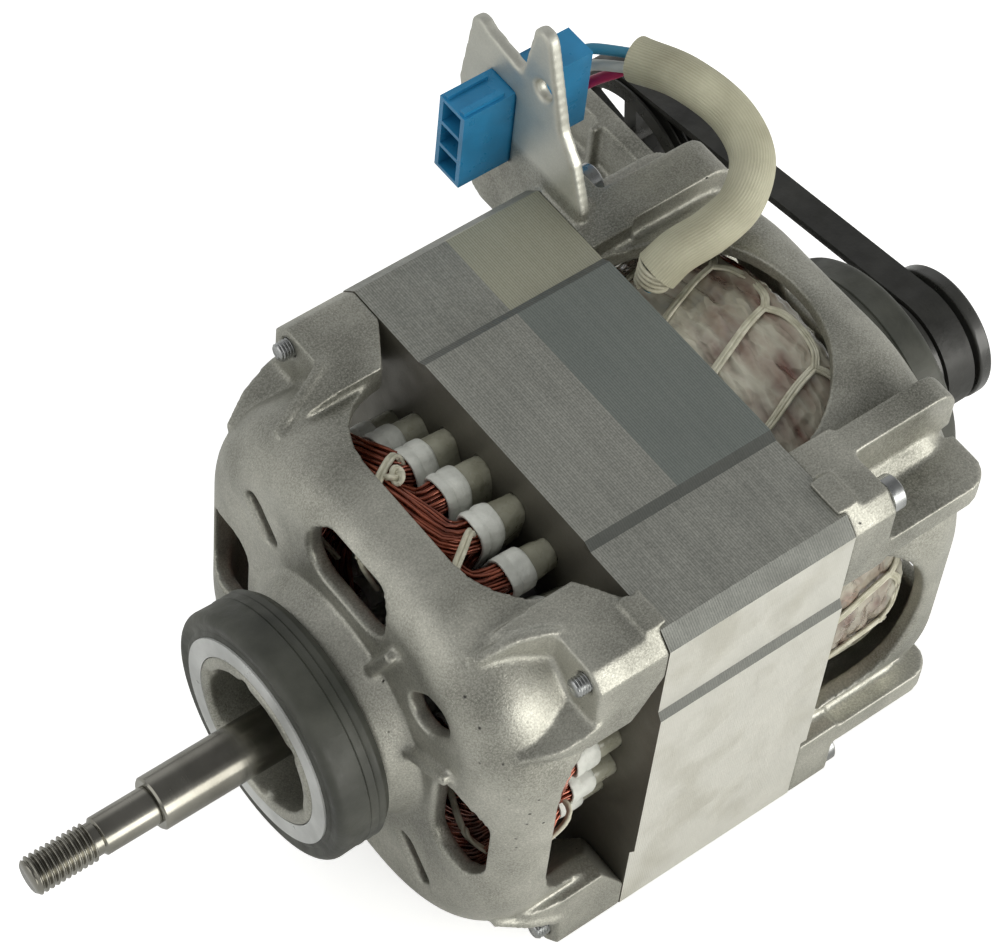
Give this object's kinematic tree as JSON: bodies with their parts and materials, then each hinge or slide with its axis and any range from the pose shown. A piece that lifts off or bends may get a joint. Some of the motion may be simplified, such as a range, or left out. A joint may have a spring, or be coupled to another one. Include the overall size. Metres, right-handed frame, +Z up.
{
  "type": "dryer motor",
  "caption": "Induction motor with a square sheet-steel core between two cast bells, rubber support rings, threaded shaft end and a ribbed belt drive to a second wheel.",
  "frame": {"origin": "on the shaft's axis, at the middle of the front rubber support ring", "axes": "+X along the shaft from the threaded front end to the belt drive at the rear, +Z up from the core's flat base, +Y towards the second wheel"},
  "size_m": [0.298, 0.2034, 0.1755],
  "materials": {
    "cast": "sand-textured die casting",
    "sheet_steel": "stacked thin sheets",
    "rotor_steel": "stacked thin sheets",
    "cage_aluminium": "cast",
    "liner_film": "translucent film",
    "cuff_film": "white film",
    "end_film": "thin film",
    "enamelled_copper": "enamelled wire",
    "lacing_cord": "waxed cord",
    "ring_plastic": "bright",
    "ring_rubber": "soft sheen",
    "zinc": "bright zinc",
    "polished_steel": "polished",
    "bearing_steel": "ground",
    "retainer_plastic": "moulded",
    "spring_steel": "blackened",
    "pulley_black": "semi-gloss",
    "belt_rubber": "matt",
    "bush_bronze": "sintered",
    "connector_blue": "moulded",
    "terminal_brass": "tin-plated",
    "lead_blue": "flexible",
    "lead_white": "flexible",
    "lead_red": "flexible",
    "sleeve_weave": "woven"
  },
  "bodies": {
    "frame": {"front_bell": "cast", "rear_bell": "cast", "stator_core": "sheet_steel", "slot_liners": "liner_film", "coil_cuffs": "cuff_film", "main_winding": "enamelled_copper", "start_winding": "enamelled_copper", "winding_film": "end_film", "front_lacing": "lacing_cord", "rear_lacing": "lacing_cord", "front_ring_insert": "ring_plastic", "front_ring_rubber": "ring_rubber", "rear_ring_insert": "ring_plastic", "rear_ring_rubber": "ring_rubber", "through_bolts": "zinc", "front_outer_race": "bearing_steel", "rear_outer_race": "bearing_steel", "wave_washer": "zinc", "drive_belt": "belt_rubber", "wheel_axle": "polished_steel", "axle_washer": "zinc", "axle_clip": "spring_steel", "connector_housing": "connector_blue", "terminals": "terminal_brass", "lead_blue": "lead_blue", "lead_white": "lead_white", "lead_red": "lead_red", "lead_sleeve": "sleeve_weave"},
    "rotor": {"shaft": "polished_steel", "rotor_core": "rotor_steel", "rotor_cage": "cage_aluminium", "front_inner_race": "bearing_steel", "rear_inner_race": "bearing_steel", "retaining_rings": "spring_steel", "motor_pulley": "pulley_black"},
    "second_wheel": {"drive_wheel": "pulley_black", "wheel_bush": "bush_bronze"},
    "front_balls": {"front_bearing_balls": "bearing_steel", "front_bearing_retainer": "retainer_plastic"},
    "rear_balls": {"rear_bearing_balls": "bearing_steel", "rear_bearing_retainer": "retainer_plastic"}
  },
  "joints": [
    {"name": "rotor_spin", "type": "hinge", "parent": "frame", "child": "rotor", "pos_m": [0.0875, 0, 0], "axis": [1, 0, 0], "continuous": true},
    {"name": "wheel_spin", "type": "hinge", "parent": "frame", "child": "second_wheel", "pos_m": [0.205, 0.108, -0.0322], "axis": [1, 0, 0], "continuous": true},
    {"name": "front_balls_orbit", "type": "hinge", "parent": "frame", "child": "front_balls", "pos_m": [0.0195, 0, 0], "axis": [1, 0, 0], "continuous": true},
    {"name": "rear_balls_orbit", "type": "hinge", "parent": "frame", "child": "rear_balls", "pos_m": [0.1615, 0, 0], "axis": [1, 0, 0], "continuous": true}
  ],
  "couplings": [
    {"joint": "wheel_spin", "follows": "rotor_spin", "ratio": 0.5767},
    {"joint": "front_balls_orbit", "follows": "rotor_spin", "ratio": 0.384},
    {"joint": "rear_balls_orbit", "follows": "rotor_spin", "ratio": 0.384}
  ]
}
